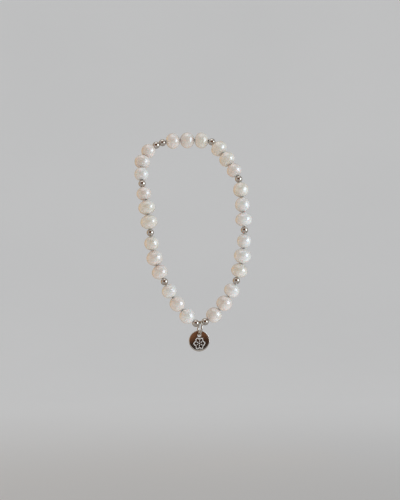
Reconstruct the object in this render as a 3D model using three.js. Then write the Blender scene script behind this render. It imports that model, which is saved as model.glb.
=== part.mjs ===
// Stretch bracelet: pearls in groups of three with small steel balls between the groups, all threaded on one
// closed elastic cord, and a steel disc that hangs in a jump ring between the two balls at the bottom.
// Millimetres, with X to the right, Y away from the viewer and Z up.
// The origin is where the loop hangs: the underside of the pearl at its top.

import * as THREE from "three";

// Pearls: the size of a usual one, and the bore through every bead
const pearlWidth = 5.9;
const pearlLength = 5.09;
const beadBore = 1.05;
const beadGap = 0.16;

// Steel balls
const ballDiameter = 2.55;

// Elastic cord
const cordDiameter = 0.6;

// Jump ring: its wire, and the width of the opening inside it
const wireDiameter = 0.7;
const ringOpening = 3.8;
const ringPlay = 0.34;
const ringTurn = THREE.MathUtils.degToRad(16);
const ringLean = THREE.MathUtils.degToRad(7);

// Disc charm, and how close a hanging piece sits to what carries it
const discDiameter = 7.4;
const discThickness = 0.8;
const discHole = 1.5;
const discRim = 0.9;
const discEdgeRound = 0.12;
const seatGap = 0.16;

// Facets
const pearlSides = 14;
const pearlSteps = 9;
const ballSides = 12;
const ballSteps = 6;
const cordSides = 8;
const wireSides = 6;
const ringSides = 16;
const discHalfSides = 14;

// Pearl groups in order from the charm up the left side, over the top and down the right side. Widths and
// lengths are shares of a usual pearl's, and ballsAfter is how many steel balls follow the group.
const pearlGroups = [
  { widths: [0.96, 0.93, 0.95], lengths: [1.05, 1.05, 0.96], ballsAfter: 1 },
  { widths: [1.0, 1.01, 0.91], lengths: [0.96, 1.05, 0.97], ballsAfter: 1 },
  { widths: [1.06, 1.05, 0.91], lengths: [0.99, 0.99, 0.94], ballsAfter: 1 },
  { widths: [0.88, 0.98, 0.9], lengths: [0.94, 0.95, 0.96], ballsAfter: 2 },
  { widths: [1.0, 1.0, 1.01], lengths: [0.98, 1.0, 0.97], ballsAfter: 1 },
  { widths: [1.03, 1.01, 0.93], lengths: [0.98, 1.0, 0.95], ballsAfter: 1 },
  { widths: [0.97, 0.92, 1.05], lengths: [1.04, 1.03, 0.97], ballsAfter: 1 },
  { widths: [0.88, 1.07, 1.02], lengths: [0.99, 1.03, 0.97], ballsAfter: 1 },
  { widths: [0.98, 0.98, 0.97], lengths: [0.96, 1.06, 1.04], ballsAfter: 1 },
];

// Route of the string: chosen points from the charm up the left side and round to it again. It crosses above
// its own origin where the loop hangs.
const stringRoute = [
  [4.8, -10.6, -62.6],
  [3.8, -11.1, -62.9],
  [1.0, -11.7, -60.7],
  [-3.0, -11.8, -56.2],
  [-7.5, -11.6, -48.4],
  [-11.4, -11.3, -39.7],
  [-12.8, -10.9, -31.2],
  [-13.9, -10.6, -22.2],
  [-15.8, -9.2, -13.7],
  [-16.2, -6.0, -6.0],
  [-15.1, -3.6, -1.6],
  [-10.9, -1.6, 1.4],
  [-5.1, -0.5, 3.2],
  [0.0, 0.0, 3.0],
  [8.6, -1.1, 2.8],
  [14.6, -4.9, -4.4],
  [18.7, -7.9, -11.9],
  [19.7, -9.5, -20.8],
  [20.4, -10.0, -29.8],
  [19.7, -9.9, -39.0],
  [17.2, -9.7, -48.1],
  [12.5, -9.5, -56.6],
  [8.5, -9.6, -60.6],
  [5.8, -10.1, -62.2],
].map(([x, y, z]) => new THREE.Vector3(x, y, z));
const routeDivisions = 2400;
const spacingPasses = 6;

// Finishes
const nacre = { color: 0xe8ddd2, roughness: 0.28, metalness: 0 };
const polishedSteel = { color: 0xc4c2c0, roughness: 0.12, metalness: 1 };
const clearElastic = { color: 0xdfddd6, roughness: 0.4, metalness: 0 };

function namedPiece(name, geometry, finish) {
  const piece = new THREE.Mesh(geometry, new THREE.MeshStandardMaterial(finish));
  piece.name = name;
  return piece;
}

// A drilled bead about the Y axis: an oval whose ends are cut away by the bore, so its length is measured
// from one rim of the bore to the other
function drilledBeadGeometry(bead) {
  const rimAngle = Math.asin(beadBore / bead.width);
  const ovalHalfLength = bead.length / 2 / Math.cos(rimAngle);
  const profile = [];
  for (let step = 0; step <= bead.steps; step += 1) {
    const angle = THREE.MathUtils.lerp(Math.PI - rimAngle, rimAngle, step / bead.steps);
    const radius = (bead.width / 2) * Math.sin(angle);
    profile.push(new THREE.Vector2(radius, ovalHalfLength * Math.cos(angle)));
  }
  profile.push(profile[0].clone());
  return new THREE.LatheGeometry(profile, bead.sides);
}

function steelBall() {
  const size = { width: ballDiameter, length: ballDiameter * Math.cos(Math.asin(beadBore / ballDiameter)) };
  return { kind: "ball", ...size, sides: ballSides, steps: ballSteps, finish: polishedSteel };
}

function pearl(widthShare, lengthShare) {
  const size = { width: widthShare * pearlWidth, length: lengthShare * pearlLength };
  return { kind: "pearl", ...size, sides: pearlSides, steps: pearlSteps, finish: nacre };
}

// Every bead in threading order, from the ball left of the jump ring to the ball right of it
function threadBeads() {
  const beads = [steelBall()];
  pearlGroups.forEach((group) => {
    group.widths.forEach((widthShare, pearlIndex) => {
      beads.push(pearl(widthShare, group.lengths[pearlIndex]));
    });
    for (let count = 0; count < group.ballsAfter; count += 1) {
      beads.push(steelBall());
    }
  });
  return beads;
}

// Radius of the rounded end of a bead, where its oval meets its axis
function endRadius(bead) {
  return bead.width ** 2 / (2 * bead.length);
}

// Room that the rounded ends of two beads need between them where the cord bends, over the usual gap
function bendRoom(bead, nextBead, bend) {
  return ((endRadius(bead) + endRadius(nextBead)) / 2) * Math.tan(bend / 2) ** 2;
}

// Corners of the cord: one between two beads, and one at each side of the jump ring's space. The arcs are the
// lengths of route that the beads take, and the route is scaled about the origin until they fill it.
function cornersAlongRoute(arcs) {
  const ringSpace = wireDiameter + 2 * ringPlay;
  const stringLength = arcs.reduce((sum, arc) => sum + arc, ringSpace);
  const drawnRoute = new THREE.CatmullRomCurve3(stringRoute, true);
  drawnRoute.arcLengthDivisions = routeDivisions;
  const routeScale = stringLength / drawnRoute.getLength();
  let reached = ringSpace / 2;
  return [0, ...arcs].map((arc) => {
    reached += arc;
    return drawnRoute.getPointAt(reached / stringLength).multiplyScalar(routeScale);
  });
}

// Room between the beads on both sides of each corner: the usual gap, and more where the cord bends there
function roomsAtCorners(beads, corners) {
  return corners.map((corner, index) => {
    if (index === 0 || index === beads.length) {
      return beadGap;
    }
    const coming = corner.clone().sub(corners[index - 1]);
    const going = corners[index + 1].clone().sub(corner);
    return beadGap + bendRoom(beads[index - 1], beads[index], coming.angleTo(going));
  });
}

// Lays the beads along the route. A bead is straight and the route bends, so the arc that a bead takes is
// lengthened, pass by pass, until the straight line between its two corners holds the bead and its room.
function threadString(beads) {
  let rooms = Array(beads.length + 1).fill(beadGap);
  let arcs = beads.map((bead) => bead.length + beadGap);
  let corners = cornersAlongRoute(arcs);
  for (let pass = 0; pass < spacingPasses; pass += 1) {
    rooms = roomsAtCorners(beads, corners);
    arcs = arcs.map((arc, index) => {
      const needed = beads[index].length + (rooms[index] + rooms[index + 1]) / 2;
      return (arc * needed) / corners[index].distanceTo(corners[index + 1]);
    });
    corners = cornersAlongRoute(arcs);
  }
  const places = beads.map((bead, index) => {
    const alongCord = corners[index + 1].clone().sub(corners[index]).normalize();
    const share = (rooms[index] + bead.length) / (rooms[index] + 2 * bead.length + rooms[index + 1]);
    return { centre: corners[index].clone().lerp(corners[index + 1], share), alongCord };
  });
  return { corners, places };
}

// The loop hangs by the bead that sits closest to the upright line through the route's origin
function topBeadIndex(places) {
  const sideways = places.map(({ centre }) => Math.hypot(centre.x, centre.y));
  return sideways.indexOf(Math.min(...sideways));
}

// The cord's path: straight from corner to corner, and round to the first corner again
class CordPath extends THREE.Curve {
  constructor(corners) {
    super();
    this.corners = corners;
  }

  cornerAt(index) {
    const count = this.corners.length;
    return this.corners[(index + count) % count];
  }

  getPointAt(share, target = new THREE.Vector3()) {
    return target.copy(this.cornerAt(Math.round(share * this.corners.length)));
  }

  getTangentAt(share, target = new THREE.Vector3()) {
    const index = Math.round(share * this.corners.length);
    const here = this.cornerAt(index);
    const coming = here.clone().sub(this.cornerAt(index - 1)).normalize();
    const going = this.cornerAt(index + 1).clone().sub(here).normalize();
    return target.copy(coming.add(going).normalize());
  }
}

function elasticCord(corners) {
  const path = new CordPath(corners);
  const geometry = new THREE.TubeGeometry(path, corners.length, cordDiameter / 2, cordSides, true);
  return namedPiece("elastic_cord", geometry, clearElastic);
}

// A bead in its place, with its bore along the straight stretch of cord inside it
function threadedBead(bead, name, place) {
  const piece = namedPiece(name, drilledBeadGeometry(bead), bead.finish);
  piece.position.copy(place.centre);
  piece.quaternion.setFromUnitVectors(new THREE.Vector3(0, 1, 0), place.alongCord);
  return piece;
}

function threadedString(beads, { corners, places }) {
  const string = new THREE.Group();
  string.add(elasticCord(corners));
  const counts = { pearl: 0, ball: 0 };
  beads.forEach((bead, index) => {
    counts[bead.kind] += 1;
    const name = `${bead.kind}_${String(counts[bead.kind]).padStart(2, "0")}`;
    string.add(threadedBead(bead, name, places[index]));
  });
  return string;
}

// The ring's wire passes over the cord and stands on edge to the viewer, across the cord
function jumpRing() {
  const ringRadius = (ringOpening + wireDiameter) / 2;
  const geometry = new THREE.TorusGeometry(ringRadius, wireDiameter / 2, wireSides, ringSides);
  geometry.rotateY(Math.PI / 2);
  const cordToWire = cordDiameter / 2 + seatGap + wireDiameter / 2;
  geometry.translate(0, 0, cordToWire - ringRadius);
  const ring = namedPiece("jump_ring", geometry, polishedSteel);
  ring.rotation.y = ringLean;
  return ring;
}

// Centre of the ring's wire at its lowest point, seen from the cord
function ringBottom() {
  const cordToWire = cordDiameter / 2 + seatGap + wireDiameter / 2;
  const below = new THREE.Vector3(0, 0, cordToWire - ringOpening - wireDiameter);
  return below.applyAxisAngle(new THREE.Vector3(0, 1, 0), ringLean);
}

// A flat disc with rounded edges, drilled near its rim, whose hole hangs on the bottom of the ring's wire
function charmDisc() {
  const holeAboveCentre = (discDiameter - discHole) / 2 - discRim;
  const outline = new THREE.Shape();
  outline.absarc(0, 0, discDiameter / 2, 0, 2 * Math.PI);
  const hole = new THREE.Path();
  hole.absarc(0, holeAboveCentre, discHole / 2, 0, 2 * Math.PI);
  outline.holes.push(hole);
  const geometry = new THREE.ExtrudeGeometry(outline, {
    depth: discThickness - 2 * discEdgeRound,
    bevelThickness: discEdgeRound,
    bevelSize: discEdgeRound,
    bevelOffset: -discEdgeRound,
    bevelSegments: 1,
    curveSegments: discHalfSides,
  });
  const holeTopAboveWire = wireDiameter / 2 + seatGap;
  geometry.translate(0, -holeAboveCentre - discHole / 2 + holeTopAboveWire, discEdgeRound - discThickness / 2);
  geometry.rotateX(Math.PI / 2);
  const disc = namedPiece("charm_disc", geometry, polishedSteel);
  disc.position.copy(ringBottom());
  return disc;
}

function charm(place) {
  const group = new THREE.Group();
  group.add(jumpRing(), charmDisc());
  group.rotation.z = ringTurn;
  group.position.copy(place);
  return group;
}

// The whole bracelet, moved so that the underside of its top bead is at the origin
function bracelet() {
  const beads = threadBeads();
  const thread = threadString(beads);
  const charmPlace = thread.corners[0].clone().lerp(thread.corners[beads.length], 1 / 2);
  const topIndex = topBeadIndex(thread.places);
  const topUnderside = thread.places[topIndex].centre.clone();
  topUnderside.z -= beads[topIndex].width / 2;
  const whole = new THREE.Group();
  whole.add(threadedString(beads, thread), charm(charmPlace));
  whole.position.copy(topUnderside.negate());
  return whole;
}

export default bracelet();
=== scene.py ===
# %% [markdown]
# # A pearl bracelet with a steel disc
#
# The bracelet is a closed elastic cord with twenty-seven small pearls on it, in groups of three, and a steel
# ball between the groups. At the bottom a jump ring holds a polished disc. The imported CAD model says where
# every piece sits. Here each piece gets its fine shape and its finish, and stays where the CAD piece is.

# %% Load the fixed frame
import math
import random

import bmesh
import bpy
import numpy as np
from mathutils import Matrix, Vector, noise


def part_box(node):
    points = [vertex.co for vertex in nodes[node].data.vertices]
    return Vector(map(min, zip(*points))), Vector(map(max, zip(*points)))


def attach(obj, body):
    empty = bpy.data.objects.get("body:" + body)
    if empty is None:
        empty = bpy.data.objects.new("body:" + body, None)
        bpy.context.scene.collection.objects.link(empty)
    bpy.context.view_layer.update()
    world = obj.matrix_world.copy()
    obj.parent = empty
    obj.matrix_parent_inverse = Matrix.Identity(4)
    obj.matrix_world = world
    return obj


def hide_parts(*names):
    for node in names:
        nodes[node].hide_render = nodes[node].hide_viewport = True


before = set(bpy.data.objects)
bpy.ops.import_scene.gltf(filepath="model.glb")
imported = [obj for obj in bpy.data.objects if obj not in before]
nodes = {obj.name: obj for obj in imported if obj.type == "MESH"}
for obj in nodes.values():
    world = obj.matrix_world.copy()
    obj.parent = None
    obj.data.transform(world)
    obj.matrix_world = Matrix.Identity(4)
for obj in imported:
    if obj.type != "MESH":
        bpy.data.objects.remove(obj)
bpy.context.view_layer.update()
scene = bpy.context.scene
MM = 0.001
print("pieces in the frame:", len(nodes))

# %% [markdown]
# ## The camera
#
# The picture was taken level, from about half a metre, with a short telephoto lens, so the loop shows almost
# without perspective. A camera that stands level keeps upright lines upright. Blender's sensor width belongs
# to the longer side of the picture, which is the upright one here. The Standard view shows the tones as they
# are, with deep blacks in the steel. Blender's default view would soften them.

# %% Camera
CAMERA_PLACE = (0.0046, -0.5106, -0.0366)
LENS = 102.0
SENSOR = 36.0

camera_data = bpy.data.cameras.new("studio_camera")
camera_data.lens = LENS
camera_data.sensor_width = SENSOR
camera_data.clip_start = 0.01
camera_data.clip_end = 20.0
camera = bpy.data.objects.new("studio_camera", camera_data)
camera.location = CAMERA_PLACE
camera.rotation_euler = (math.radians(90), 0, 0)
scene.collection.objects.link(camera)
scene.camera = camera
scene.view_settings.view_transform = "Standard"
print("camera at", tuple(camera.location), "with a lens of", camera_data.lens, "mm")

# %% [markdown]
# ## Where each piece is
#
# A CAD bead is a coarse turned shape, so its corners say all that is needed. Their mean is the bead's centre.
# The corners next to its axis are the two rims of its bore, and the line from one rim to the other is the
# axis. For the flat pieces, the direction in which the corners spread least is the way the piece faces.

# %% Read centres, axes and sizes from the frame
BORE_REACH = 0.75 * MM
AXIS_ROUNDS = 3
GROUPS = 9
PEARLS_IN_GROUP = 3
TWO_BALLS_AFTER_GROUP = 3


def corners_of(node):
    vertices = nodes[node].data.vertices
    points = np.empty(len(vertices) * 3)
    vertices.foreach_get("co", points)
    return points.reshape(-1, 3)


def flat_axis(points):
    """The direction in which the points spread least. eigh sorts the spreads, so it is the first one."""
    axes = np.linalg.eigh(np.cov((points - points.mean(0)).T))[1]
    return axes[:, 0]


def read_bead(node, ahead):
    """Centre, axis, width and length of a bead whose bore points roughly ahead. Each round mends the axis."""
    points = corners_of(node)
    centre = points.mean(0)
    axis = ahead / np.linalg.norm(ahead)
    for _ in range(AXIS_ROUNDS):
        along = (points - centre) @ axis
        off_axis = np.linalg.norm(points - centre - np.outer(along, axis), axis=1)
        rims = off_axis < BORE_REACH
        front = points[rims & (along > 0)].mean(0)
        back = points[rims & (along < 0)].mean(0)
        axis = (front - back) / np.linalg.norm(front - back)
    length = np.linalg.norm(front - back)
    return {"centre": centre, "axis": axis, "width": 2 * off_axis.max(), "length": length}


def threading_order():
    """The beads as they are threaded, from the charm up the left side and down the right side to it."""
    order = ["ball_01"]
    pearl_count, ball_count = 0, 1
    for group in range(GROUPS):
        for _ in range(PEARLS_IN_GROUP):
            pearl_count += 1
            order.append(f"pearl_{pearl_count:02d}")
        for _ in range(2 if group == TWO_BALLS_AFTER_GROUP else 1):
            ball_count += 1
            order.append(f"ball_{ball_count:02d}")
    return order


order = threading_order()
centres = [corners_of(name).mean(0) for name in order]
beads = {}
for index, name in enumerate(order):
    ahead = centres[(index + 1) % len(order)] - centres[index - 1]
    beads[name] = read_bead(name, ahead)

for name in ("pearl_01", "pearl_14", "ball_01"):
    print(name, "width", round(beads[name]["width"] / MM, 2), "length", round(beads[name]["length"] / MM, 2))

# %% [markdown]
# ## Making round meshes
#
# Every piece of this bracelet is a row of closed loops with skin between them: a turned bead, a bent wire and
# a thread. One helper joins such loops with four-sided faces, which shade smoothly and stay regular. A row
# that ends where it began, as a thread through a whole necklace does, closes on itself. Each piece is made
# upright and then its mesh is turned into place. An attribute keeps the upright places, because the growth
# lines of a pearl and the scratches of the steel follow the piece and not the room.

# %% Helper: skin over a row of loops
MAKING_PLACE = "making_place"


def angles_round(steps):
    return [2 * math.pi * step / steps for step in range(steps)]


def mesh_from_loops(name, loops, closed, caps=False):
    """A smooth mesh object over loops of equal length. closed joins the last loop to the first."""
    count, sides = len(loops), len(loops[0])
    points = [tuple(point) for loop in loops for point in loop]
    faces = []
    for row in range(count if closed else count - 1):
        after = (row + 1) % count
        for side in range(sides):
            turn = (side + 1) % sides
            faces.append((row * sides + side, row * sides + turn, after * sides + turn, after * sides + side))
    if caps:
        faces.append(tuple(reversed(range(sides))))
        faces.append(tuple(range((count - 1) * sides, count * sides)))
    mesh = bpy.data.meshes.new(name)
    mesh.from_pydata(points, [], faces)
    mesh.update()
    face_outwards(mesh)
    mesh.shade_smooth()
    piece = bpy.data.objects.new(name, mesh)
    scene.collection.objects.link(piece)
    return piece


def face_outwards(mesh):
    work = bmesh.new()
    work.from_mesh(mesh)
    bmesh.ops.recalc_face_normals(work, faces=work.faces)
    work.to_mesh(mesh)
    work.free()


def keep_making_place(mesh):
    """Stores where each vertex is now, so that a pattern can follow the piece after its mesh is turned."""
    places = np.empty(len(mesh.vertices) * 3)
    mesh.vertices.foreach_get("co", places)
    kept = mesh.attributes.new(MAKING_PLACE, "FLOAT_VECTOR", "POINT")
    kept.data.foreach_set("vector", places)


def turn_and_place(piece, centre, turn):
    keep_making_place(piece.data)
    piece.data.transform(turn)
    piece.location = centre


def stand_on_axis(piece, centre, axis):
    """Puts a piece that was made about Z at centre, with its Z along axis."""
    turn_and_place(piece, centre, Vector(axis).to_track_quat("Z", "Y").to_matrix().to_4x4())


# %% [markdown]
# ## The shape of a pearl
#
# These are freshwater pearls. They are a little shorter along the drill hole than across it, and no two are
# alike: each has shallow swellings, and fine growth lines that run round it as on a turned pot. The lines run
# round the drill axis, because such pearls are drilled through their poles. A turned profile makes the oval
# and the drilled hole with its softened lip. Slow noise pushes the skin in and out for the swellings, and
# each growth line is a narrow groove at its own height. Bump alone would look the same from the front, but
# real relief also shows at the edge of the pearl.

# %% Pearl profile
PEARL_SIDES = 72
PEARL_STEPS = 76
HOLE_STEPS = 6
HOLE_RADIUS = 0.48 * MM
LIP_RADIUS = 0.07 * MM
SHOULDER = 0.012

# Shares of the lip's radius: how far the bore starts below the skin, and where the softened point lies
LIP_DROP = 0.6
LIP_OUT, LIP_UP = 0.3, 0.45


def skin_profile(width, length, first, steps):
    """Points (radius, height) round half an oval, which leaves the angle first free at each pole."""
    half = length / 2 / math.cos(first)
    angles = [math.pi - first - (math.pi - 2 * first) * step / steps for step in range(steps + 1)]
    points = [(width / 2 * math.sin(angle), half * math.cos(angle)) for angle in angles]
    return points, angles


def pearl_profile(width, length):
    """Points (radius, height, 1 on the skin or 0): the skin of a drilled oval, then back down its hole."""
    first = math.asin(min(1.0, (HOLE_RADIUS + LIP_RADIUS) / (width / 2)))
    skin = []
    points, angles = skin_profile(width, length, first, PEARL_STEPS)
    for (radius, height), angle in zip(points, angles):
        fuller = 1 + SHOULDER * math.sin(2 * angle) ** 2
        skin.append((radius * fuller, height * fuller, 1.0))
    rim = skin[-1][1] - LIP_DROP * LIP_RADIUS
    lip = [(HOLE_RADIUS + LIP_OUT * LIP_RADIUS, rim + LIP_UP * LIP_RADIUS, 0.0), (HOLE_RADIUS, rim, 0.0)]
    wall = []
    for step in range(1, HOLE_STEPS):
        wall.append((HOLE_RADIUS, rim * (1 - 2 * step / HOLE_STEPS), 0.0))
    mirrored_lip = [(radius, -height, 0.0) for radius, height, _ in reversed(lip)]
    return skin + lip + wall + mirrored_lip


# %% [markdown]
# ## The relief of a pearl
#
# The swellings and dimples are noise at two scales, read in the direction from the pearl's centre. They are
# shares of its radius, so a small pearl is as uneven as a large one. A growth line doesn't run quite level:
# the height at which it is looked up wanders a little on the way round. One pearl in four has clearly deeper
# lines. Each pearl draws from its own random numbers, so it stays the same when others change.

# %% Pearl relief
SWELLING, SWELL_SCALE, SWELL_LEVEL = 0.020, 1.15, 0.45
DIMPLING, DIMPLE_SCALE, DIMPLE_LEVEL = 0.006, 3.1, 0.4
WANDER, WANDER_SCALE = 0.035, 1.7
NOISE_SPAN = 50

GROOVE_COUNT = (7, 12)
GROOVE_REACH = 0.82
GROOVE_WIDTHS = (0.035, 0.065)
GROOVE_DEPTHS = (0.3, 1.0)
FINE_GROOVES, DEEP_GROOVES = 0.006, 0.013
DEEP_EVERY, DEEP_FIRST = 4, 2


def growth_lines(draw, strength):
    """Heights as shares of the half length, with the width and depth of each fine groove."""
    lines = []
    for _ in range(draw.randint(*GROOVE_COUNT)):
        height = draw.uniform(-GROOVE_REACH, GROOVE_REACH)
        lines.append((height, draw.uniform(*GROOVE_WIDTHS), strength * draw.uniform(*GROOVE_DEPTHS)))
    return lines


def pearl_skin_push(direction, share, lines, seed, edge):
    """How far the skin stands out at a direction from the centre, as a share of the radius."""
    slow = noise.noise(direction * SWELL_SCALE + seed)
    quick = noise.noise(direction * DIMPLE_SCALE - seed)
    push = SWELLING * (slow - SWELL_LEVEL) + DIMPLING * (quick - DIMPLE_LEVEL)
    height = share + WANDER * noise.noise(direction * WANDER_SCALE + 2 * seed)
    for line_height, line_width, depth in lines:
        push -= depth * math.exp(-(((height - line_height) / line_width) ** 2))
    return push * edge


# %% Make the pearls
KEEP_WIDTH = 0.988
KEEP_LENGTH = 1.006
EDGE_FADE = 0.9 * MM


def make_pearl(name, bead, index):
    draw = random.Random(index)
    seed = Vector([draw.uniform(0, NOISE_SPAN) for _ in range(3)])
    lines = growth_lines(draw, DEEP_GROOVES if index % DEEP_EVERY == DEEP_FIRST else FINE_GROOVES)
    width, length = KEEP_WIDTH * bead["width"], KEEP_LENGTH * bead["length"]
    loops = []
    for radius, height, on_skin in pearl_profile(width, length):
        share = height / (length / 2)
        edge = on_skin * min(1.0, (radius - HOLE_RADIUS) / EDGE_FADE)
        loop = []
        for turn in angles_round(PEARL_SIDES):
            direction = Vector((math.cos(turn) * radius, math.sin(turn) * radius, height)).normalized()
            push = 1 + pearl_skin_push(direction, share, lines, seed, edge) if on_skin else 1
            loop.append((math.cos(turn) * radius * push, math.sin(turn) * radius * push, height * push))
        loops.append(loop)
    pearl = mesh_from_loops(name, loops, closed=True)
    stand_on_axis(pearl, bead["centre"], bead["axis"])
    return pearl


pearls = {}
for index, name in enumerate(n for n in order if n.startswith("pearl")):
    pearls[name] = make_pearl(name.replace("pearl", "nacre_pearl"), beads[name], index)

print(len(pearls), "pearls of", len(pearls["pearl_01"].data.polygons), "faces each")

# %% [markdown]
# ## Node helpers
#
# Each finish below is a small node tree: texture coordinates, some noise or waves, and a shader. A helper
# that adds a node and sets its inputs by name keeps each tree short enough to read at a glance, and the nodes
# that come up again and again have helpers of their own. Textures use the places at which the piece was made,
# in metres, so a scale of 1000 makes features of about a millimetre.

# %% Helpers: materials and their nodes


def new_material(name):
    material = bpy.data.materials.new(name)
    material.use_nodes = True
    tree = material.node_tree
    tree.nodes.clear()
    output = tree.nodes.new("ShaderNodeOutputMaterial")
    shader = tree.nodes.new("ShaderNodeBsdfPrincipled")
    tree.links.new(shader.outputs["BSDF"], output.inputs["Surface"])
    return material, tree, shader


def add_node(tree, kind, inputs=None, **settings):
    """Adds a node. An input is set to a value, or linked where an output socket is given."""
    node = tree.nodes.new(kind)
    for setting, value in settings.items():
        setattr(node, setting, value)
    set_inputs(tree, node, inputs or {})
    return node


def set_inputs(tree, node, inputs):
    for key, value in inputs.items():
        if isinstance(value, bpy.types.NodeSocket):
            tree.links.new(value, node.inputs[key])
        else:
            node.inputs[key].default_value = value


def noise_at(tree, place, scale, detail, roughness=0.5):
    inputs = {"Vector": place, "Scale": scale, "Detail": detail, "Roughness": roughness}
    return add_node(tree, "ShaderNodeTexNoise", inputs).outputs["Fac"]


def bump_from(tree, height, strength, distance, over=None):
    """A bump normal. It adds to the normal of an earlier bump where one is given."""
    inputs = {"Height": height, "Strength": strength, "Distance": distance}
    if over is not None:
        inputs["Normal"] = over
    return add_node(tree, "ShaderNodeBump", inputs).outputs["Normal"]


def mix_colours(tree, factor, first, second):
    inputs = {"Factor": factor, "A": first, "B": second}
    return add_node(tree, "ShaderNodeMix", inputs, data_type="RGBA").outputs["Result"]


def making_place(tree):
    return add_node(tree, "ShaderNodeAttribute", attribute_name=MAKING_PLACE).outputs["Vector"]


def colour_ramp(tree, factor, stops):
    ramp = add_node(tree, "ShaderNodeValToRGB", {"Fac": factor})
    elements = ramp.color_ramp.elements
    while len(elements) < len(stops):
        elements.new(0.5)
    for element, (position, colour) in zip(elements, stops):
        element.position = position
        element.color = (*colour, 1.0)
    return ramp.outputs["Color"]


def value_range(tree, factor, low, high):
    spread = add_node(tree, "ShaderNodeMapRange", {"Value": factor, "To Min": low, "To Max": high})
    return spread.outputs["Result"]


# %% [markdown]
# ## Nacre
#
# Nacre is a stack of thin clear plates over a pale core. Three things make it read as pearl and not as glazed
# china. Light goes a little way in and comes out softly, which subsurface scattering does. The gloss lies in
# a clear skin over a duller body, which a coat over a rougher base does. The plates are as thin as light
# waves, so the gloss carries faint rose and green, which a thin film on the shader does. The body colour
# drifts between ivory and rose over each pearl, and fine bands follow the growth lines. Three tints are
# shared out over the string, because matched pearls still differ.

# %% Nacre material
NACRE_TINTS = {
    "ivory": ((0.73, 0.65, 0.53), (0.83, 0.79, 0.72)),
    "rose": ((0.73, 0.63, 0.54), (0.83, 0.77, 0.72)),
    "white": ((0.75, 0.70, 0.64), (0.84, 0.82, 0.79)),
}


def nacre_material(name, deep, pale):
    material, tree, shader = new_material(name)
    place = making_place(tree)
    drift = noise_at(tree, place, scale=320.0, detail=3.0, roughness=0.55)
    mottle = noise_at(tree, place, scale=2600.0, detail=4.0, roughness=0.6)
    bands = add_node(
        tree,
        "ShaderNodeTexWave",
        {"Vector": place, "Scale": 520.0, "Distortion": 2.2, "Detail": 3.0, "Detail Scale": 1.4},
        bands_direction="Z",
    ).outputs["Fac"]
    body = colour_ramp(tree, drift, [(0.32, deep), (0.66, pale)])
    band_bump = bump_from(tree, bands, strength=0.10, distance=0.02 * MM)
    set_inputs(
        tree,
        shader,
        {
            "Base Color": mix_colours(tree, value_range(tree, bands, 0.0, 0.10), body, (*deep, 1.0)),
            "Roughness": value_range(tree, mottle, 0.34, 0.46),
            "IOR": 1.70,
            "Subsurface Weight": 0.2,
            "Subsurface Radius": (1.0, 0.62, 0.48),
            "Subsurface Scale": 1.1 * MM,
            "Coat Weight": 1.0,
            "Coat Roughness": 0.23,
            "Coat IOR": 2.0,
            "Sheen Weight": 0.10,
            "Sheen Roughness": 0.35,
            "Sheen Tint": (1.0, 0.88, 0.84, 1.0),
            "Thin Film Thickness": 285.0,
            "Thin Film IOR": 1.60,
            "Normal": bump_from(tree, mottle, strength=0.08, distance=0.02 * MM, over=band_bump),
        },
    )
    return material


nacre = {tint: nacre_material(f"nacre_{tint}", *colours) for tint, colours in NACRE_TINTS.items()}
tint_draw = random.Random(len(pearls))
for pearl in pearls.values():
    tint = tint_draw.choice(sorted(nacre))
    pearl.data.materials.append(nacre[tint])

print("nacre tints:", ", ".join(sorted(nacre)))

# %% [markdown]
# ## The steel balls
#
# Between the groups sit small polished balls with a bore. A mirror ball shows its whole surroundings, so a
# coarse ball would show broken reflections. A turned ball with many steps keeps them round, and a small lip
# at the bore catches a bright line as the pierced metal does.

# %% Ball shape
BALL_SIDES = 48
BALL_STEPS = 40
BALL_HOLE_RADIUS = 0.5 * MM
BALL_LIP = 0.05 * MM
KEEP_BALL = 0.99

# Shares of the lip: out from the bore, and down from the rim
BALL_LIP_POINTS = ((0.3, 0.1), (0.0, 0.7))


def ball_profile(width, length):
    first = math.asin((BALL_HOLE_RADIUS + BALL_LIP) / (width / 2))
    skin, _ = skin_profile(width, length, first, BALL_STEPS)
    rim = skin[-1][1]
    lip = [(BALL_HOLE_RADIUS + out * BALL_LIP, rim - down * BALL_LIP) for out, down in BALL_LIP_POINTS]
    return skin + lip + [(BALL_HOLE_RADIUS, 0.0)] + [(radius, -height) for radius, height in reversed(lip)]


def turned_loops(profile, sides):
    """A circle of points for each (radius, height) of a profile."""
    angles = angles_round(sides)
    return [
        [(radius * math.cos(angle), radius * math.sin(angle), height) for angle in angles]
        for radius, height in profile
    ]


balls = {}
for name in (n for n in order if n.startswith("ball")):
    bead = beads[name]
    profile = ball_profile(KEEP_BALL * bead["width"], KEEP_BALL * bead["length"])
    loops = turned_loops(profile, BALL_SIDES)
    ball = mesh_from_loops(name.replace("ball", "polished_ball"), loops, closed=True)
    stand_on_axis(ball, bead["centre"], bead["axis"])
    balls[name] = ball

print(len(balls), "balls of", len(balls["ball_01"].data.polygons), "faces each")

# %% [markdown]
# ## Polished steel
#
# Polished stainless steel is a slightly warm mirror. Worn jewellery is never quite clean: hair-fine scratches
# blur the reflection a little more in some places than in others. A stretched noise stands for the scratches
# and a broad one for the places that were handled more. Both only move the roughness and a very weak bump.

# %% Polished steel material
STEEL = (0.66, 0.605, 0.545, 1.0)
STEEL_AT_GRAZING = (0.42, 0.35, 0.29, 1.0)
SCRATCH_STRETCH = (1.0, 1.0, 9.0)


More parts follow.
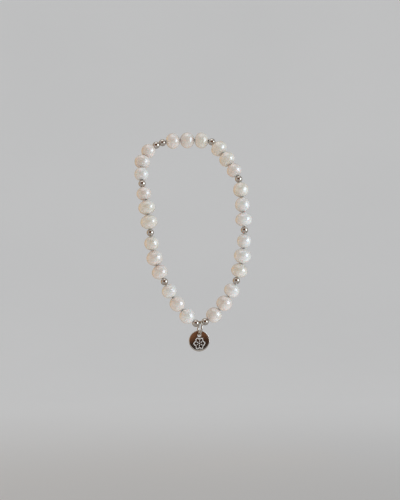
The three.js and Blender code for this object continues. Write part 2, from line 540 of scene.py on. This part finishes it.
def polished_steel(name, smoothest, roughest, scratch_scale):
    material, tree, shader = new_material(name)
    place = making_place(tree)
    stretched = add_node(tree, "ShaderNodeMapping", {"Vector": place, "Scale": SCRATCH_STRETCH})
    scratches = noise_at(tree, stretched.outputs["Vector"], scratch_scale, detail=6.0, roughness=0.7)
    handling = noise_at(tree, place, scale=700.0, detail=2.0)
    wear = add_node(tree, "ShaderNodeMath", {0: scratches, 1: handling}, operation="MULTIPLY")
    set_inputs(
        tree,
        shader,
        {
            "Base Color": STEEL,
            "Specular Tint": STEEL_AT_GRAZING,
            "Metallic": 1.0,
            "Roughness": value_range(tree, wear.outputs["Value"], smoothest, roughest),
            "Normal": bump_from(tree, scratches, strength=0.05, distance=0.004 * MM),
        },
    )
    return material


ball_steel = polished_steel("ball_steel", smoothest=0.03, roughest=0.18, scratch_scale=2200.0)
for ball in balls.values():
    ball.data.materials.append(ball_steel)
print("finish of the balls:", ball_steel.name)

# %% [markdown]
# ## The elastic thread
#
# One clear elastic thread runs through every bore. It only shows in the gaps between beads and on both sides
# of the jump ring. The CAD cord has a corner between two beads. The real thread bends softly, so a smooth
# curve goes through the middle of every bore and of every gap. These points lie at even steps. A curve
# through points at very uneven steps overshoots and makes small loops, which the printed length would show.

# %% Thread helpers
THREAD_RADIUS = 0.3 * MM
THREAD_SIDES = 14
THREAD_STEPS = 8


def smooth_closed_path(points, steps):
    """A closed curve through the points, with a few steps between each two of them."""
    path = []
    count = len(points)
    for index in range(count):
        before, start, end, after = (Vector(points[(index + offset) % count]) for offset in (-1, 0, 1, 2))
        for step in range(steps):
            t = step / steps
            line = 2 * start + (end - before) * t
            line += (2 * before - 5 * start + 4 * end - after) * t**2
            line += (3 * start - before - 3 * end + after) * t**3
            path.append(line / 2)
    return path


def tube_loops(path, radius, sides):
    """Circles across a closed path, turned as little as possible from one to the next."""
    loops = []
    side_way = Vector((0, 1, 0))
    for index, point in enumerate(path):
        along = (path[(index + 1) % len(path)] - path[index - 1]).normalized()
        side_way = (side_way - along * side_way.dot(along)).normalized()
        up_way = along.cross(side_way)
        around = [math.cos(angle) * side_way + math.sin(angle) * up_way for angle in angles_round(sides)]
        loops.append([point + radius * way for way in around])
    return loops


# %% Lay the thread through the bores and the gaps
thread_points = []
for index, name in enumerate(order):
    bead, after = beads[name], beads[order[(index + 1) % len(order)]]
    leaves = bead["centre"] + bead["length"] / 2 * bead["axis"]
    enters = after["centre"] - after["length"] / 2 * after["axis"]
    thread_points += [bead["centre"], (leaves + enters) / 2]
thread_path = smooth_closed_path(thread_points, THREAD_STEPS)
thread = mesh_from_loops("elastic_thread", tube_loops(thread_path, THREAD_RADIUS, THREAD_SIDES), closed=True)
thread_length = sum((a - b).length for a, b in zip(thread_path, thread_path[1:] + thread_path[:1]))
print("thread:", round(thread_length / MM, 1), "mm round the loop")

# %% [markdown]
# ## Clear elastic
#
# Stretch cord for beads is clear plastic. Seen in a gap it is a pale, slightly milky strand with a soft
# gloss. Part transmission with a rough inside gives that, and streaks along the strand break the gloss.

# %% Clear elastic material
elastic, tree, shader = new_material("clear_elastic")
place = add_node(tree, "ShaderNodeTexCoord").outputs["Object"]
streaks = noise_at(tree, place, scale=1800.0, detail=3.0)
milky = colour_ramp(tree, streaks, [(0.3, (0.74, 0.73, 0.70)), (0.7, (0.84, 0.83, 0.80))])
set_inputs(
    tree,
    shader,
    {
        "Base Color": milky,
        "Roughness": value_range(tree, streaks, 0.25, 0.45),
        "IOR": 1.5,
        "Transmission Weight": 0.35,
    },
)
thread.data.materials.append(elastic)
print("finish of the thread:", elastic.name)

# %% [markdown]
# ## The jump ring
#
# A jump ring is one turn of round wire whose two ends meet. The ends are cut square and pressed together, so
# a hair-fine seam stays. A wire swept round a circle that stops just short of a full turn, with a slightly
# rounded end on each side, makes that seam as it is made in the workshop.

# %% Jump ring
RING_SIDES = 20
RING_STEPS = 110
SEAM_GAP = 0.03 * MM
SEAM_FROM_TOP = math.radians(62)
KEEP_WIRE = 0.97

# How the wire's end widens: distance from the end, and share of the wire's radius there
END_ROUNDS = ((0.00 * MM, 0.80), (0.02 * MM, 0.93), (0.05 * MM, 1.0))

ring_points = corners_of("jump_ring")
ring_centre = ring_points.mean(0)
ring_axis = flat_axis(ring_points)
ring_reach = np.linalg.norm(ring_points - ring_centre, axis=1)
ring_radius = (ring_reach.max() + ring_reach.min()) / 2
wire_radius = KEEP_WIRE * (ring_reach.max() - ring_reach.min()) / 2
print("jump ring radius", round(ring_radius / MM, 2), "wire", round(2 * wire_radius / MM, 2), "mm")


def ring_loops():
    """Circles of wire from one side of the seam round to the other, about the Z axis."""
    gap_angle = SEAM_GAP / ring_radius
    rounded = [(gap_angle / 2 + reach / ring_radius, share) for reach, share in END_ROUNDS]
    stations = list(rounded)
    start, end = rounded[-1][0], 2 * math.pi - rounded[-1][0]
    for step in range(1, RING_STEPS):
        stations.append((start + (end - start) * step / RING_STEPS, 1.0))
    stations += [(2 * math.pi - angle, share) for angle, share in reversed(rounded)]
    sideways = Vector((0, 0, 1))
    loops = []
    for angle, share in stations:
        out = Vector((math.sin(angle + SEAM_FROM_TOP), math.cos(angle + SEAM_FROM_TOP), 0))
        centre = out * ring_radius
        around = [out * math.cos(turn) + sideways * math.sin(turn) for turn in angles_round(RING_SIDES)]
        loops.append([centre + way * wire_radius * share for way in around])
    return loops


ring = mesh_from_loops("wire_ring", ring_loops(), closed=False, caps=True)
stand_on_axis(ring, ring_centre, ring_axis)
ring.data.materials.append(polished_steel("ring_steel", smoothest=0.06, roughest=0.24, scratch_scale=2600.0))
print("wire ring:", len(ring.data.polygons), "faces")

# %% [markdown]
# ## The disc
#
# The charm is a small stamped disc. Stamping leaves it very slightly domed, with a soft edge, and its hole
# is countersunk a little on both sides so that it doesn't cut the ring. The dome matters: a truly flat mirror
# reflects one point of the room and looks dead, while a shallow dome spreads the room over the disc. Its
# profile is turned, and the hole is cut with a boolean, which leaves a crisp edge.

# %% Read the disc from the frame
HOLE_WITHIN = 0.82

disc_points = corners_of("charm_disc")
disc_low, disc_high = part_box("charm_disc")
disc_centre = np.array((disc_low + disc_high) / 2)
disc_axis = flat_axis(disc_points)
if disc_axis[1] > 0:
    # The engraved face looks towards the camera, which is the way of falling Y
    disc_axis = -disc_axis
disc_thickness = 2 * np.abs((disc_points - disc_centre) @ disc_axis).max()
in_plane = disc_points - disc_centre
in_plane = in_plane - np.outer(in_plane @ disc_axis, disc_axis)
disc_reach = np.linalg.norm(in_plane, axis=1)
disc_radius = disc_reach.max()
at_hole = disc_reach < HOLE_WITHIN * disc_radius
hole_offset = in_plane[at_hole].mean(0)
hole_up = np.linalg.norm(hole_offset)
hole_radius = np.linalg.norm(in_plane[at_hole] - hole_offset, axis=1).min()
print(
    "disc: diameter", round(2 * disc_radius / MM, 2), "thickness", round(disc_thickness / MM, 2),
    "hole", round(2 * hole_radius / MM, 2), "at", round(hole_up / MM, 2), "mm above its centre",
)

# %% [markdown]
# ## The blank and its hole
#
# The blank is half an outline, from the middle of the front round the edge to the middle of the back, turned
# about the disc's axis. The hole cutter is turned too. It is as wide as the hole in the middle and opens
# towards both faces, so one cut makes the hole and both countersinks.

# %% Disc blank and hole cutter
DISC_SIDES = 144
HOLE_SIDES = 96
CUTTER_REACH = 1.5
DOME = 0.04 * MM
EDGE_ROUND = 0.12 * MM
EDGE_STEPS = 6
FACE_RINGS = 14
CHAMFER = 0.08 * MM


def disc_profile():
    """Half outline (radius, height) from the front centre round the edge to the back centre."""
    half = disc_thickness / 2
    flat_radius = disc_radius - EDGE_ROUND

    def face_height(radius):
        return half - DOME * (radius / flat_radius) ** 2

    rings = [flat_radius * step / FACE_RINGS for step in range(1, FACE_RINGS + 1)]
    front = [(radius, face_height(radius)) for radius in rings]
    side_half = face_height(flat_radius) - EDGE_ROUND
    edge = []
    for step in range(1, EDGE_STEPS):
        angle = math.pi / 2 * step / EDGE_STEPS
        edge.append((flat_radius + EDGE_ROUND * math.sin(angle), side_half + EDGE_ROUND * math.cos(angle)))
    edge.append((disc_radius, side_half))
    upper = front + edge
    return upper + [(radius, -height) for radius, height in reversed(upper)]


def capped_turning(name, profile, sides):
    """A turned solid, closed at both ends of its profile by a flat face."""
    return mesh_from_loops(name, turned_loops(profile, sides), closed=False, caps=True)


def hole_cutter_profile():
    """The hole with its chamfers, whose slopes go on well past both faces."""
    half = disc_thickness / 2 - DOME / 2
    above = CUTTER_REACH * disc_thickness
    wide = hole_radius + CHAMFER + above - half
    return [(wide, above), (hole_radius, half - CHAMFER), (hole_radius, CHAMFER - half), (wide, -above)]


disc = capped_turning("engraved_disc", disc_profile(), DISC_SIDES)
hole_cutter = capped_turning("hole_cutter", hole_cutter_profile(), HOLE_SIDES)
hole_cutter.location = (0, hole_up, 0)
print("disc blank:", len(disc.data.polygons), "faces")

# %% [markdown]
# ## The engraving
#
# The front carries a small engraved ornament, cut a few hundredths of a millimetre deep. It is a plain
# flower: one wavy line with six lobes, a stroke into each notch, and a dot. The wavy line is a circle whose
# radius swings six times on its way round. Each mark is an outline that is pulled up into a solid, and all
# the solids are subtracted from the disc at once. The engraving tool leaves the floor of a groove rough, so
# it scatters light and reads as a pale line on the dark mirror. The cutters carry that finish, and the
# boolean hands it on to the faces that they cut.

# %% Outlines of the flower
LOBES = 6
FLOWER_RADIUS = 1.78 * MM
LOBE_SWING = 0.14
LINE_WIDTH = 0.36 * MM
STROKE_WIDTH = 0.30 * MM
STROKE_FROM, STROKE_TO = 0.66 * MM, 1.06 * MM
CENTRE_DOT = 0.32 * MM
ENGRAVED_DEPTH = 0.07 * MM
FLOWER_DOWN = 0.84 * MM
OUTLINE_STEPS = 120
END_STEPS = 8
DOT_STEPS = 24


def wavy_outline(aside):
    """Points along the wavy line, moved aside by a distance square to it."""
    points = []
    for angle in angles_round(OUTLINE_STEPS):
        radius = FLOWER_RADIUS * (1 + LOBE_SWING * math.cos(LOBES * angle))
        slope = -FLOWER_RADIUS * LOBE_SWING * LOBES * math.sin(LOBES * angle)
        out = Vector((math.cos(angle), math.sin(angle)))
        along = slope * out + radius * Vector((-out.y, out.x))
        points.append(radius * out + aside * Vector((along.y, -along.x)).normalized())
    return points


def stroke_outline(angle):
    """Points round a short stroke with round ends, that points away from the centre."""
    out = Vector((math.cos(angle), math.sin(angle)))
    points = []
    for end, facing in ((STROKE_TO, 0.0), (STROKE_FROM, math.pi)):
        for step in range(END_STEPS + 1):
            turn = angle + facing - math.pi / 2 + math.pi * step / END_STEPS
            points.append(end * out + STROKE_WIDTH / 2 * Vector((math.cos(turn), math.sin(turn))))
    return points


def dot_outline():
    return [CENTRE_DOT * Vector((math.cos(angle), math.sin(angle))) for angle in angles_round(DOT_STEPS)]


# %% Pull the outlines up into a cutter
def add_wall(work, lower, upper):
    for index in range(len(lower)):
        turn = (index + 1) % len(lower)
        work.faces.new((lower[index], lower[turn], upper[turn], upper[index]))


def add_row(work, outline, height):
    return [work.verts.new((point.x, point.y - FLOWER_DOWN, height)) for point in outline]


def flower_cutter():
    work = bmesh.new()
    low, high = disc_thickness / 2 - DOME / 2 - ENGRAVED_DEPTH, disc_thickness
    outer, inner = wavy_outline(LINE_WIDTH / 2), wavy_outline(-LINE_WIDTH / 2)
    corners = ((outer, low), (outer, high), (inner, high), (inner, low))
    rows = [add_row(work, outline, height) for outline, height in corners]
    for lower, upper in zip(rows, rows[1:] + rows[:1]):
        add_wall(work, lower, upper)
    notches = [math.pi * (2 * lobe + 1) / LOBES for lobe in range(LOBES)]
    for outline in [stroke_outline(angle) for angle in notches] + [dot_outline()]:
        bottom, top = add_row(work, outline, low), add_row(work, outline, high)
        add_wall(work, bottom, top)
        work.faces.new(bottom)
        work.faces.new(top)
    bmesh.ops.recalc_face_normals(work, faces=work.faces)
    mesh = bpy.data.meshes.new("flower_cutter")
    work.to_mesh(mesh)
    work.free()
    cutter = bpy.data.objects.new("flower_cutter", mesh)
    scene.collection.objects.link(cutter)
    return cutter


flower = flower_cutter()
print("flower cutter:", len(flower.data.polygons), "faces")

# %% [markdown]
# ## Disc finishes
#
# The face of the disc is the brightest mirror on the bracelet, and the groove floor is the same steel left
# matt. Giving the cutter the matt finish and the disc the mirror, the boolean's transfer mode sorts them out.

# %% Disc materials
mirror = polished_steel("disc_mirror", smoothest=0.02, roughest=0.14, scratch_scale=1500.0)

groove, tree, shader = new_material("engraved_floor")
grain = noise_at(tree, making_place(tree), scale=9000.0, detail=4.0)
floor_tone = colour_ramp(tree, grain, [(0.3, (0.74, 0.70, 0.65)), (0.7, (0.90, 0.87, 0.83))])
grain_bump = bump_from(tree, grain, strength=0.4, distance=0.01 * MM)
set_inputs(
    tree,
    shader,
    {"Base Color": floor_tone, "Metallic": 1.0, "Roughness": 0.5, "Normal": grain_bump},
)

disc.data.materials.append(mirror)
hole_cutter.data.materials.append(mirror)
flower.data.materials.append(groove)
print("finishes of the disc:", mirror.name, "and", groove.name)

# %% Cut the hole and the flower
SHARP_FROM = math.radians(28)


def cut(piece, cutter):
    modifier = piece.modifiers.new(cutter.name, "BOOLEAN")
    modifier.operation = "DIFFERENCE"
    modifier.solver = "EXACT"
    modifier.material_mode = "TRANSFER"
    modifier.object = cutter


def apply_modifiers(piece):
    bpy.context.view_layer.update()
    done = bpy.data.meshes.new_from_object(piece.evaluated_get(bpy.context.evaluated_depsgraph_get()))
    piece.modifiers.clear()
    piece.data = done


cut(disc, hole_cutter)
cut(disc, flower)
apply_modifiers(disc)
for cutter in (hole_cutter, flower):
    bpy.data.objects.remove(cutter)
disc.data.set_sharp_from_angle(angle=SHARP_FROM)
print("disc:", len(disc.data.polygons), "faces,", len(disc.data.materials), "finishes")

# %% [markdown]
# ## The sheared edge
#
# The outer edge of the disc is not polished: the punch sheared it, and it only gleams softly. It gets a
# duller steel of its own. Its faces are picked by two questions: whether they lie at the rim, and whether
# they look outwards rather than forwards or back.

# %% Duller steel on the sheared edge
EDGE_FACES_OUT = 0.6

sheared = polished_steel("sheared_edge", smoothest=0.34, roughest=0.52, scratch_scale=3200.0)
disc.data.materials.append(sheared)
edge_slot = len(disc.data.materials) - 1
edge_faces = 0
for face in disc.data.polygons:
    at_rim = Vector((face.center.x, face.center.y)).length > disc_radius - EDGE_ROUND
    if at_rim and abs(face.normal.z) < EDGE_FACES_OUT:
        face.material_index = edge_slot
        edge_faces += 1
print("sheared edge:", edge_faces, "faces")

# %% [markdown]
# ## Standing the disc up
#
# So far the disc lies flat, with its hole towards Y and its engraved face up. Three directions that were read
# from the frame say where its side, its top and its face belong. As the columns of a matrix, they turn it.

# %% Stand the disc in its place
up_way = hole_offset / hole_up
side_way = np.cross(up_way, disc_axis)
stance = Matrix((side_way, up_way, disc_axis)).transposed().to_4x4()
turn_and_place(disc, disc_centre, stance)
print("disc at", [round(value / MM, 2) for value in disc_centre], "mm")

# %% [markdown]
# ## Which piece stands for which
#
# Each fine piece now takes the place of its CAD piece and moves with the same body. The beads and the thread
# stay with the bracelet, the wire ring swings on the thread, and the disc swings on the ring.

# %% Replace and ride
for name, pearl in pearls.items():
    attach(pearl, "bracelet")
    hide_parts(name)
for name, ball in balls.items():
    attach(ball, "bracelet")
    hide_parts(name)
for piece, node, body, slot in (
    (thread, "elastic_cord", "bracelet", "elastic"),
    (ring, "jump_ring", "ring", "ring_steel"),
    (disc, "charm_disc", "charm", "charm_steel"),
):
    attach(piece, body)
    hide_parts(node)
print("pieces that stand for a CAD piece:", len(pearls) + len(balls) + 3)

# %% [markdown]
# ## The studio
#
# Small glossy things look like what surrounds them, so most of the work on polished jewellery is in the
# room. A pale floor that curves up into the wall all round gives a soft, even background from every side. It
# casts no shadow, so the sky colour reaches the beads through it.

# %% Floor and wall in one sweep
INNER_RADIUS = 0.02
FLOOR_DROP = 0.168
FLOOR_RADIUS = 0.75
COVE_RADIUS = 0.75
WALL_TOP = 1.6
COVE_STEPS = 24
SWEEP_SIDES = 96


def sweep_profile():
    profile = [(radius, -FLOOR_DROP) for radius in (INNER_RADIUS, FLOOR_RADIUS / 2, FLOOR_RADIUS)]
    for step in range(1, COVE_STEPS + 1):
        angle = math.pi / 2 * step / COVE_STEPS
        radius = FLOOR_RADIUS + COVE_RADIUS * math.sin(angle)
        profile.append((radius, -FLOOR_DROP + COVE_RADIUS * (1 - math.cos(angle))))
    profile.append((FLOOR_RADIUS + COVE_RADIUS, WALL_TOP))
    return profile


def fill_lower_hole(mesh):
    """Closes the small hole that the turning leaves in the middle of the floor."""
    work = bmesh.new()
    work.from_mesh(mesh)
    rim = [edge for edge in work.edges if edge.is_boundary and edge.verts[0].co.z < 0]
    bmesh.ops.holes_fill(work, edges=rim)
    work.to_mesh(mesh)
    work.free()


sweep = mesh_from_loops("pale_sweep", turned_loops(sweep_profile(), SWEEP_SIDES), closed=False)
fill_lower_hole(sweep.data)
print("sweep: floor", FLOOR_DROP, "m below the hang point, wall", WALL_TOP, "m above it")

# %% [markdown]
# ## The paper
#
# The paper is nearly even, with a very faint mottle. The floor under the bracelet carries a painted shade: it
# is a little greyer than the wall, as where a table's own shade falls, and clears up away from the middle. A
# weak glow of its own keeps the wall as pale from behind as from the front, where no lamp is aimed at it.

# %% Paper finish
# Where the painted shade under the bracelet starts to clear, where it is gone, and its grey
SHADE_FROM, SHADE_TO = 0.15, 0.75
SHADE_TONE = (0.60, 0.60, 0.60, 1.0)
PAPER_GLOW = 0.145

paper, tree, shader = new_material("pale_paper")
place = add_node(tree, "ShaderNodeTexCoord").outputs["Object"]
mottling = noise_at(tree, place, scale=4.0, detail=3.0)
unshaded_tone = colour_ramp(tree, mottling, [(0.3, (0.842, 0.850, 0.860)), (0.7, (0.866, 0.874, 0.884))])
# Painted shade: the floor is greyer under the bracelet and clears up away from the middle
on_floor = add_node(tree, "ShaderNodeVectorMath", {0: place, 1: (1.0, 1.0, 0.0)}, operation="MULTIPLY")
reach = add_node(tree, "ShaderNodeVectorMath", {0: on_floor.outputs["Vector"]}, operation="LENGTH")
under_shade = add_node(
    tree,
    "ShaderNodeMapRange",
    {
        "Value": reach.outputs["Value"],
        "From Min": SHADE_FROM,
        "From Max": SHADE_TO,
        "To Min": 1.0,
        "To Max": 0.0,
    },
    interpolation_type="SMOOTHSTEP",
)
# The paper's tone with the painted shade mixed in, used for its colour and its glow
paper_tone = mix_colours(tree, under_shade.outputs["Result"], unshaded_tone, SHADE_TONE)
set_inputs(
    tree,
    shader,
    {
        "Base Color": paper_tone,
        "Roughness": 0.9,
        "Emission Color": paper_tone,
        "Emission Strength": PAPER_GLOW,
    },
)
sweep.data.materials.append(paper)
sweep.visible_shadow = False
sweep.visible_diffuse = False
print("paper:", paper.name, "with a glow of", PAPER_GLOW)

# %% [markdown]
# ## The lamps
#
# A window on the right gives each pearl its cool, soft highlight, and a weak warm lamp on the left its beige
# side. That lamp is left out of reflections, or each pearl would show a second spot. A wide light from above
# and a bounce from below keep the shaded sides open. The two near lights would burn a hot spot into the
# paper, so light linking leaves the paper out. A collection lists what a light treats in its own way, and
# the state EXCLUDE says that the light passes it by.

# %% Lamps
AIM = Vector((0.0025, -0.006, -0.034))


def area_light(name, place, size, power, colour):
    data = bpy.data.lights.new(name, "AREA")
    data.shape = "RECTANGLE"
    data.size, data.size_y = size
    data.energy = power
    data.color = colour
    light = bpy.data.objects.new(name, data)
    light.location = place
    light.rotation_euler = (AIM - Vector(place)).to_track_quat("-Z", "Y").to_euler()
    scene.collection.objects.link(light)
    return light


window = area_light("window", (0.71, -0.36, 0.08), (0.50, 0.54), power=3.3, colour=(0.76, 0.91, 1.0))
warm_fill = area_light("warm_fill", (-0.68, -0.20, 0.06), (0.4, 0.3), power=1.1, colour=(1.0, 0.70, 0.34))
warm_fill.visible_glossy = False
area_light("bounce", (0.15, -0.20, -0.60), (0.8, 0.8), power=2.3, colour=(0.98, 0.985, 0.98))
area_light("top_fill", (-0.10, -0.10, 0.85), (0.8, 0.8), power=1.7, colour=(0.99, 0.99, 1.0))

left_out = bpy.data.collections.new("left_out_by_near_lights")
left_out.objects.link(sweep)
left_out.collection_objects[0].light_linking.link_state = "EXCLUDE"
for near_light in (window, warm_fill):
    near_light.light_linking.receiver_collection = left_out

# %% [markdown]
# ## Dark and warm cards
#
# The room behind the camera is dark and brown, and the mirror disc and the balls need it: without it they
# would be as pale as the wall and lose their shape. A brown card stands for that room, nearly black below
# the height of a table, and two warm cards tint the rims. The cards glow a little by themselves and show in
# reflections only, so they don't light the paper.

# %% Card helpers
TABLE_FADE = 0.03
NEARLY_BLACK = (0.012, 0.007, 0.004, 1.0)
MOTTLE_FROM, MOTTLE_TO = 0.4, 0.6


def darker_below(tree, spot, tone, table):
    """The tone, nearly black below the height of a table, which is measured from the card's middle."""
    height = add_node(tree, "ShaderNodeSeparateXYZ", {"Vector": spot}).outputs["Y"]
    rise = add_node(
        tree,
        "ShaderNodeMapRange",
        {"Value": height, "From Min": table - TABLE_FADE, "From Max": table + TABLE_FADE},
    )
    return mix_colours(tree, rise.outputs["Result"], NEARLY_BLACK, tone)


def card(name, place, size, colours, noise_scale, table=None):
    """A card that faces the bracelet, shows in reflections only and is mottled between two colours."""
    wide, high = size[0] / 2, size[1] / 2
    mesh = bpy.data.meshes.new(name)
    corners = [(-wide, -high, 0), (wide, -high, 0), (wide, high, 0), (-wide, high, 0)]
    mesh.from_pydata(corners, [], [(0, 1, 2, 3)])
    piece = bpy.data.objects.new(name, mesh)
    piece.location = place
    piece.rotation_euler = (AIM - Vector(place)).to_track_quat("Z", "Y").to_euler()
    scene.collection.objects.link(piece)
    material, tree, shader = new_material(name)
    spot = add_node(tree, "ShaderNodeTexCoord").outputs["Object"]
    mottle = noise_at(tree, spot, noise_scale, detail=2.0)
    tone = colour_ramp(tree, mottle, [(MOTTLE_FROM, colours[0]), (MOTTLE_TO, colours[1])])
    if table is not None:
        tone = darker_below(tree, spot, tone, table)
    set_inputs(
        tree,
        shader,
        {"Base Color": (0, 0, 0, 1), "Roughness": 1.0, "Emission Color": tone, "Emission Strength": 1.0},
    )
    mesh.materials.append(material)
    piece.visible_camera = False
    piece.visible_diffuse = False
    piece.visible_shadow = False
    piece.visible_transmission = False


# %% Place the cards
BROWN = ((0.050, 0.021, 0.010), (0.25, 0.105, 0.045))
AMBER = ((0.43, 0.25, 0.09), (0.78, 0.53, 0.22))
SAND = ((0.43, 0.27, 0.12), (0.78, 0.55, 0.29))

card("brown_room", (0.06, -0.74, 0.00), (1.90, 1.60), BROWN, noise_scale=7.0, table=-0.125)
card("warm_left", (-0.66, 0.40, 0.10), (0.75, 0.52), AMBER, noise_scale=4.0)
card("warm_floor", (-0.16, 0.24, -0.160), (0.60, 0.34), SAND, noise_scale=4.0)
print("cards: brown_room, warm_left, warm_floor")

# %% [markdown]
# ## The air
#
# The world's plain pale colour stands for all the light that comes from everywhere in a bright room. It
# fills what the lamps leave dark.

# %% World
world = bpy.data.worlds.new("studio_air")
world.use_nodes = True
air = world.node_tree.nodes["Background"]
air.inputs["Color"].default_value = (0.985, 0.98, 0.97, 1.0)
air.inputs["Strength"].default_value = 0.41
scene.world = world
print("world strength:", round(air.inputs["Strength"].default_value, 2))
